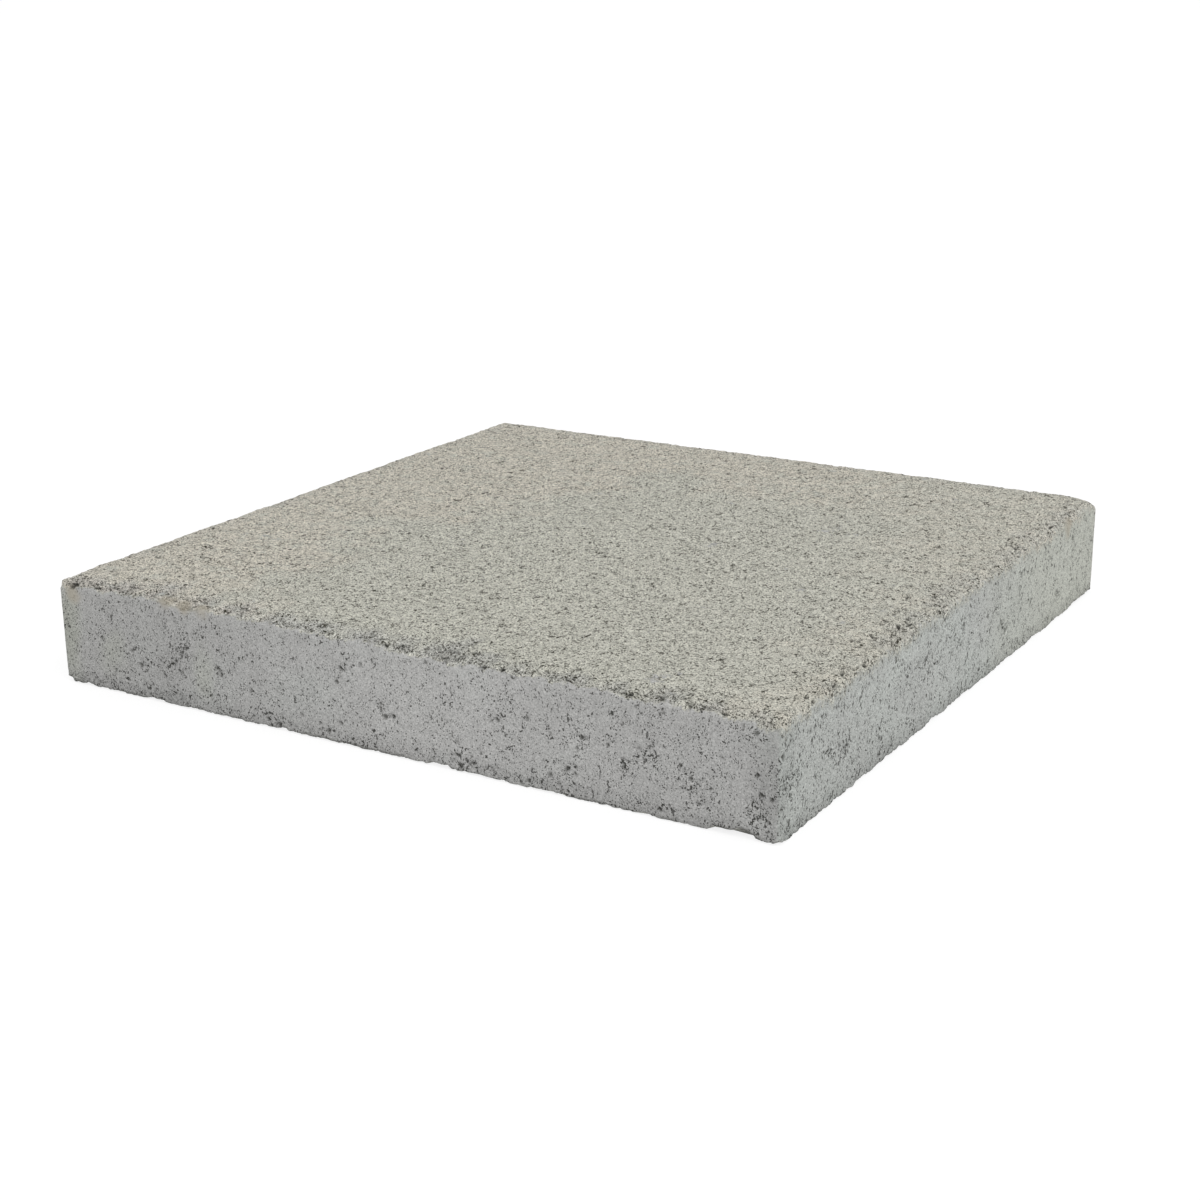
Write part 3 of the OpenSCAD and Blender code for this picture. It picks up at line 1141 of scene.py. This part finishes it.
grain_group = make_grain_group()
gap_group = make_gap_group()
print("node groups", grain_group.name, gap_group.name)

# %% [markdown]
# ## Tools for the finishes
# Every finish is built the same way: a base colour, pushed lighter and darker by grains
# and noise, with gaps drawn over it, and a height for the bumps. These helpers read a
# mask from the mesh, give places in millimetres, which turn with the stone, and draw
# several kinds of gap at once.

# %% Shading helpers
DRY_ROUGHNESS = 0.93
DULL_SHINE = 0.25
BUMP_MM = 0.20
# The colour of gaps and holes: painted shade inside them.
GAP_SHADE = (0.065, 0.065, 0.058)


def mask_value(tree, name):
    return put(tree, "ShaderNodeAttribute", attribute_name=name).outputs["Fac"]


def millimetres(tree):
    place = put(tree, "ShaderNodeTexCoord").outputs["Object"]
    return vector_sum(tree, "SCALE", {0: place, "Scale": 1 / MM})


def use_group(tree, group, **inputs):
    return put(tree, "ShaderNodeGroup", node_tree=group, inputs=inputs)


def around_zero(tree, value, strength):
    """Turns noise from 0 to 1 into a push of up to half the strength either way."""
    return scaled(tree, sum_up(tree, "SUBTRACT", value, 0.5), strength)


def brighten(tree, colour, *pushes):
    """Multiplies a colour by 1 plus the sum of the pushes."""
    factor = 1.0
    for push in pushes:
        factor = sum_up(tree, "ADD", push, factor)
    return vector_sum(tree, "SCALE", {0: colour, "Scale": factor})


def draw_gaps(tree, loose, kinds):
    """How dark the gaps make each place, as painted shade in them; it also sets their dent. Where two kinds
    overlap, the darker one counts.
    """
    darkest = []
    for place, size, softness, share, looser, clusters, darkness in kinds:
        many = scaled(tree, loose, looser, share)
        gap = use_group(
            tree, gap_group,
            Place=place, Size=size, Softness=softness, Share=many, Clusters=clusters,
        )
        darkest.append(scaled(tree, gap.outputs[0], darkness))
    while len(darkest) > 1:
        darkest[:2] = [sum_up(tree, "MAXIMUM", darkest[0], darkest[1])]
    return darkest[0]


def finish_surface(tree, colour, height):
    bump = put(tree, "ShaderNodeBump", {"Strength": 1.0, "Distance": BUMP_MM * MM, "Height": height})
    surface = put(tree, "ShaderNodeBsdfPrincipled", {
        "Base Color": colour,
        "Roughness": DRY_ROUGHNESS,
        "Specular IOR Level": DULL_SHINE,
        "Normal": bump.outputs[0],
    })
    put(tree, "ShaderNodeOutputMaterial", {"Surface": surface.outputs[0]})


print("dry concrete's roughness", DRY_ROUGHNESS)

# %% [markdown]
# ## The sandy tread
# The tread is bare sand in a little paste: grains of half a millimetre to one, a few of
# them nearly white, with dark gaps of three sizes between them and more gaps where the
# mix is loose. Pictures of sand could be tiled over it, but they repeat and show seams;
# grains drawn from noise never do, and stay sharp from close by.

# %% Sandy tread finish
TREAD_COOL = (0.671, 0.664, 0.583)
TREAD_WARM = (0.724, 0.687, 0.594)
PALE_GRAIN = (0.76, 0.75, 0.69)
BAND_CAST = (0.90, 0.91, 0.98)
# Painted shade inside the tread's gaps.
TREAD_GAP_SHADE = (0.072, 0.068, 0.050)


def sandy_finish(tree, place, loose, warm):
    """The tread's colour and height."""
    fine = use_group(tree, grain_group, Place=place, Size=0.48)
    coarse = use_group(tree, grain_group, Place=place, Size=1.2)
    dust = noise(tree, place, 1.9, 1.0)
    patch = noise(tree, place, 0.05, 4.0, 0.6)
    mottle = around_zero(tree, noise(tree, place, 0.15, 3.0, 0.6), 4.5)
    warmth = scaled(tree, mottle, sum_up(tree, "ADD", warm, 0.08), warm)
    warmth = sum_up(tree, "ADD", around_zero(tree, patch, 0.6), warmth)
    warmth = sum_up(tree, "ADD", around_zero(tree, coarse.outputs["Tint"], 0.10), warmth)
    colour = blend(tree, warmth, TREAD_COOL, TREAD_WARM)
    colour = brighten(
        tree, colour,
        around_zero(tree, fine.outputs["Lightness"], 0.54),
        around_zero(tree, coarse.outputs["Lightness"], 0.10),
        around_zero(tree, dust, 1.35),
    )
    cast = blend(tree, loose, (1, 1, 1), BAND_CAST)
    colour = vector_sum(tree, "MULTIPLY", {0: colour, 1: cast})
    pale = ramp(tree, fine.outputs["Lightness"], 0.93, 0.95)
    colour = blend(tree, scaled(tree, pale, 0.40), colour, PALE_GRAIN)
    struck = vector_sum(tree, "MULTIPLY", {0: place, 1: (1, 0.8, 1)})
    dark = draw_gaps(tree, loose, [  # place, size, softness, share, more if loose, clusters, darkness
        (struck, 0.33, 0.04, 0.72, 0.10, 0.30, 0.86),
        (struck, 0.58, 0.03, 0.39, 0.15, 0.45, 0.86),
        (struck, 0.85, 0.02, 0.25, 0.15, 0.30, 1.00),
    ])
    # The gaps drawn with painted shade.
    colour = blend(tree, dark, colour, TREAD_GAP_SHADE)
    height = scaled(tree, coarse.outputs["Height"], 0.8, fine.outputs["Height"])
    height = scaled(tree, dust, 0.8, height)
    return colour, scaled(tree, dark, -1.6, height)


print("tread from", TREAD_COOL, "to", TREAD_WARM)

# %% [markdown]
# ## The wiped sides
# As the stone is pushed out, the mould walls drag a thin coat of paste over the sand.
# It leaves a close grey skin with dots where the paste missed, short upright drag
# marks, and larger holes where the mix is loose. The drag marks are the same gaps as
# before, drawn in a place that is squeezed along the height.

# %% Wiped side finish
SIDE_GREY = (0.492, 0.489, 0.478)
SIDE_GREEN = (0.530, 0.552, 0.525)
SIDE_YELLOW = (0.560, 0.572, 0.515)


def wiped_finish(tree, place, loose, green, warm):
    """The sides' colour and height."""
    fine = use_group(tree, grain_group, Place=place, Size=0.5)
    dust = noise(tree, place, 1.6, 1.0)
    patch = noise(tree, place, 0.06, 4.0, 0.6)
    greenness = sum_up(tree, "ADD", around_zero(tree, patch, 0.8), green)
    colour = blend(tree, greenness, SIDE_GREY, SIDE_GREEN)
    colour = blend(tree, warm, colour, SIDE_YELLOW)
    colour = brighten(
        tree, colour,
        around_zero(tree, fine.outputs["Lightness"], 0.30),
        around_zero(tree, dust, 0.85),
        around_zero(tree, patch, 0.10),
    )
    drag = vector_sum(tree, "MULTIPLY", {0: place, 1: (1, 1, 0.64)})
    dragged = scaled(tree, green, 0.44, 0.10)
    dark = draw_gaps(tree, loose, [  # place, size, softness, share, more if loose, clusters, darkness
        (place, 0.32, 0.02, 0.36, 0.32, 0.35, 1.00),
        (drag, 0.50, 0.03, dragged, 0.30, 0.50, 0.82),
        (place, 0.68, 0.03, 0.08, 0.34, 0.45, 0.95),
    ])
    # The gaps drawn with painted shade.
    colour = blend(tree, dark, colour, GAP_SHADE)
    height = scaled(tree, dust, 0.6, scaled(tree, fine.outputs["Height"], 0.3))
    return colour, scaled(tree, dark, -1.4, height)


print("sides from", SIDE_GREY, "to", SIDE_GREEN)

# %% [markdown]
# ## The cast concrete
# One material covers the tread and the sides, because they are one casting and their
# border is ragged. The two finishes are mixed by the sand line, which fine noise frays a
# little more; towards the green side it turns vaguer. Then come the pale lip along the
# line, the tan stains, a painted highlight on high spots, and painted shade with some
# dirt in hollows, pits and cracks.

# %% Cast concrete
STAIN_TAN = (0.47, 0.42, 0.33)
LIP_PALE = (0.66, 0.65, 0.59)
# Painted shade with some dirt: the colour of hollows, pits and cracks.
HOLLOW_SHADE_AND_DIRT = (0.075, 0.075, 0.065)
STAIN_STRENGTH = 0.60
# How strong the painted highlight on high spots is, then the painted shade, with some dirt, in hollows,
# pits and cracks.
HIGH_SPOT_HIGHLIGHT = 0.10
HOLLOW_SHADE_AND_DIRT_STRENGTH = 0.95
MARK_SHADE_AND_DIRT_STRENGTH = 0.92


def make_cast_concrete():
    material = bpy.data.materials.new("cast_concrete")
    tree = empty_tree(material)
    place = millimetres(tree)
    mask = {name: mask_value(tree, name) for name in MASKS}
    green = mask["green"]
    tread, tread_height = sandy_finish(tree, place, mask["loose"], mask["warm"])
    side, side_height = wiped_finish(tree, place, mask["loose"], green, mask["warm"])

    fray = sum_up(tree, "SUBTRACT", noise(tree, place, 0.45, 4.0, 0.75), 0.5)
    line = scaled(tree, fray, scaled(tree, green, 10.0, 6.0), mask["skin"])
    wiped = ramp(tree, line, scaled(tree, green, -1.5, -0.25), scaled(tree, green, 4.0, 0.35))
    colour = blend(tree, wiped, tread, side)
    # Colour tones, with painted light and shade along the sides and painted shade at their foot.
    colour = brighten(tree, colour, mask["tone_and_shade"])

    near_line = sum_up(tree, "ABSOLUTE", sum_up(tree, "SUBTRACT", line, 0.15))
    lip = sum_up(tree, "SUBTRACT", 1.0, ramp(tree, near_line, 0.05, 0.45))
    colour = blend(tree, scaled(tree, lip, mask["lip"]), colour, LIP_PALE)
    colour = blend(tree, scaled(tree, mask["stain"], STAIN_STRENGTH), colour, STAIN_TAN)
    # A painted highlight on high spots, the lit tops of crumbs.
    high_spot_highlight = ramp(tree, mask["hollow"], -0.05, -0.35)
    colour = brighten(tree, colour, scaled(tree, high_spot_highlight, HIGH_SPOT_HIGHLIGHT))
    # Painted shade with some dirt in hollows, and in pits and cracks.
    deep_shade_and_dirt = scaled(tree, ramp(tree, mask["hollow"], 0.20, 0.85), HOLLOW_SHADE_AND_DIRT_STRENGTH)
    deep_shade_and_dirt = sum_up(tree, "MAXIMUM", deep_shade_and_dirt, scaled(tree, mask["mark_shade_and_dirt"], MARK_SHADE_AND_DIRT_STRENGTH))
    colour = blend(tree, deep_shade_and_dirt, colour, HOLLOW_SHADE_AND_DIRT)

    height = put(tree, "ShaderNodeMix", {0: wiped, 2: tread_height, 3: side_height}, data_type="FLOAT")
    finish_surface(tree, colour, height.outputs[0])
    return material


cast_concrete = make_cast_concrete()
print("material", cast_concrete.name, len(cast_concrete.node_tree.nodes), "nodes")

# %% [markdown]
# ## The bedding face
# Underneath, the stone took the print of its pallet: flatter, duller and more even
# than the tread, with the same sand and a few more holes. It reuses both effects with
# other sizes.

# %% Bedding concrete
BED_PALE = (0.46, 0.46, 0.425)
BED_DULL = (0.40, 0.395, 0.36)


def make_bed_concrete():
    material = bpy.data.materials.new("bedding_concrete")
    tree = empty_tree(material)
    place = millimetres(tree)
    cells = use_group(tree, grain_group, Place=place, Size=1.2)
    holes = use_group(tree, gap_group, Place=place, Size=1.3, Share=0.30, Clusters=0.35).outputs[0]
    dull = ramp(tree, noise(tree, place, 0.03, 5.0, 0.6), 0.35, 0.65)
    colour = blend(tree, dull, BED_PALE, BED_DULL)
    colour = brighten(
        tree, colour,
        around_zero(tree, cells.outputs["Lightness"], 0.15),
        around_zero(tree, noise(tree, place, 2.0, 2.0, 0.7), 0.5),
    )
    # The bed's holes drawn with painted shade.
    colour = blend(tree, scaled(tree, holes, 0.75), colour, GAP_SHADE)
    # Painted shade with some dirt in the bed's hollows.
    colour = blend(tree, ramp(tree, mask_value(tree, "hollow"), 0.10, 0.60), colour, HOLLOW_SHADE_AND_DIRT)
    finish_surface(tree, colour, scaled(tree, holes, -1.4, scaled(tree, cells.outputs["Height"], 0.5)))
    return material


bed_concrete = make_bed_concrete()
thinned.materials.append(cast_concrete)
thinned.materials.append(bed_concrete)
thinned.polygons.foreach_set("material_index", (nearest_side == 3).astype(np.int32))
thinned.update()
print("material", bed_concrete.name, len(bed_concrete.node_tree.nodes), "nodes")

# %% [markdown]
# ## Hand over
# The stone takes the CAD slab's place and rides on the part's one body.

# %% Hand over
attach(stone, "root")
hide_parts("slab")
